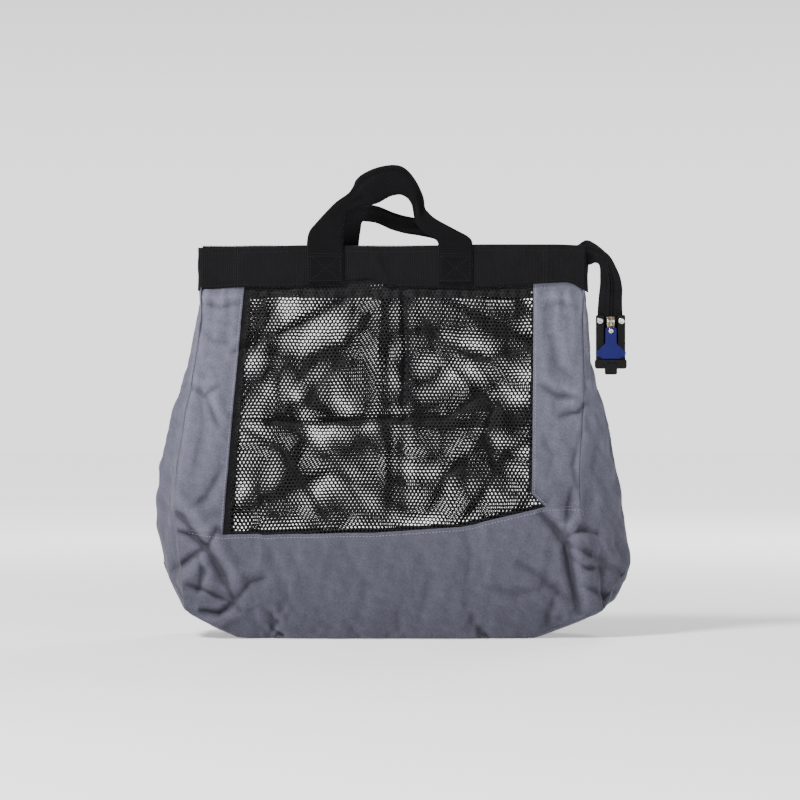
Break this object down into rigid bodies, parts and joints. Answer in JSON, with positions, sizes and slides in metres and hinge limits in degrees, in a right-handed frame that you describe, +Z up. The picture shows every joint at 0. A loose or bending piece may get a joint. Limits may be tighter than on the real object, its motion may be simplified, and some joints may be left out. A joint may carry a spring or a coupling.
{
  "type": "zip-top mesh carry bag with seal lock",
  "caption": "Upright cotton carry bag with mesh windows, webbing band and handles, side gussets, and a zip tail that ends in a small seal lock.",
  "frame": {"origin": "on the floor under the middle of the bag", "axes": "+Z up to the mouth and handles, X along the mouth with the zip tail at +X, front wall faces -Y"},
  "size_m": [0.574, 0.112, 0.5632],
  "materials": {
    "cotton": "plain-woven grey cotton twill, matt",
    "mesh": "black knitted polyester mesh with open diamond holes",
    "webbing": "black ribbed webbing, matt",
    "zip_tape": "black woven zip tape",
    "zip_coil": "black nylon coil",
    "lock_plastic": "black moulded plastic, half gloss",
    "pull_plastic": "blue moulded plastic",
    "steel": "nickel-plated steel",
    "brass": "antique brass"
  },
  "bodies": {
    "bag": {"rear_band": "webbing", "rear_left_flank": "cotton", "rear_right_flank": "cotton", "rear_lower_panel": "cotton", "rear_mesh": "mesh", "rear_mesh_hem": "mesh", "rear_mesh_binding": "webbing", "rear_zip_tape": "zip_tape", "rear_zip_coil": "zip_coil", "rear_handle_left_end": "webbing", "rear_handle_right_end": "webbing", "base_panel": "cotton", "left_base_corner": "cotton", "right_base_corner": "cotton", "left_gusset": "cotton", "right_gusset": "cotton", "left_band_end": "webbing", "right_band_end": "webbing", "tail_shoulder": "zip_tape"},
    "front_wall": {"front_band": "webbing", "front_left_flank": "cotton", "front_right_flank": "cotton", "front_lower_panel": "cotton", "front_mesh": "mesh", "front_mesh_hem": "mesh", "front_mesh_binding": "webbing", "front_zip_tape": "zip_tape", "front_zip_coil": "zip_coil", "front_handle_left_end": "webbing", "front_handle_right_end": "webbing"},
    "front_handle": {"front_handle_left_leg": "webbing", "front_handle_right_leg": "webbing", "front_handle_grip": "webbing"},
    "rear_handle": {"rear_handle_left_leg": "webbing", "rear_handle_right_leg": "webbing", "rear_handle_grip": "webbing"},
    "zip_tail": {"tail_inner_tape": "zip_tape", "tail_outer_tape": "zip_tape", "tail_inner_coil": "zip_coil", "tail_outer_coil": "zip_coil", "lock_back_plate": "lock_plastic", "lock_front_housing": "lock_plastic", "lock_rivets": "steel", "latch_spring": "steel"},
    "slider": {"slider_body": "brass", "slider_bridge": "brass"},
    "pull": {"t_pull": "pull_plastic", "pull_eye": "brass", "pull_rivet": "steel"},
    "latch": {"latch_tab": "lock_plastic"}
  },
  "joints": [
    {"name": "mouth_open", "type": "hinge", "parent": "bag", "child": "front_wall", "pos_m": [0, -0.056, 0], "axis": [1, 0, 0], "range_deg": [0, 14]},
    {"name": "front_handle_fold", "type": "hinge", "parent": "front_wall", "child": "front_handle", "pos_m": [0, -0.0101, 0.468], "axis": [1, 0, 0], "range_deg": [0, 110]},
    {"name": "rear_handle_fold", "type": "hinge", "parent": "bag", "child": "rear_handle", "pos_m": [0, 0.0101, 0.468], "axis": [-1, 0, 0], "range_deg": [0, 110]},
    {"name": "tail_swing", "type": "hinge", "parent": "bag", "child": "zip_tail", "pos_m": [0.261, 0, 0.44], "axis": [1, 0, 0], "range_deg": [-60, 60]},
    {"name": "slider_travel", "type": "slide", "parent": "zip_tail", "child": "slider", "axis": [0, 0, 1], "range_m": [0, 0.05]},
    {"name": "pull_lift", "type": "hinge", "parent": "slider", "child": "pull", "pos_m": [0.261, -0.0067, 0.3747], "axis": [-1, 0, 0], "range_deg": [0, 140]},
    {"name": "latch_press", "type": "slide", "parent": "zip_tail", "child": "latch", "axis": [0, 0, -1], "range_m": [0, 0.003], "stiffness_N_per_m": 150, "deforming": ["latch_spring"]}
  ]
}
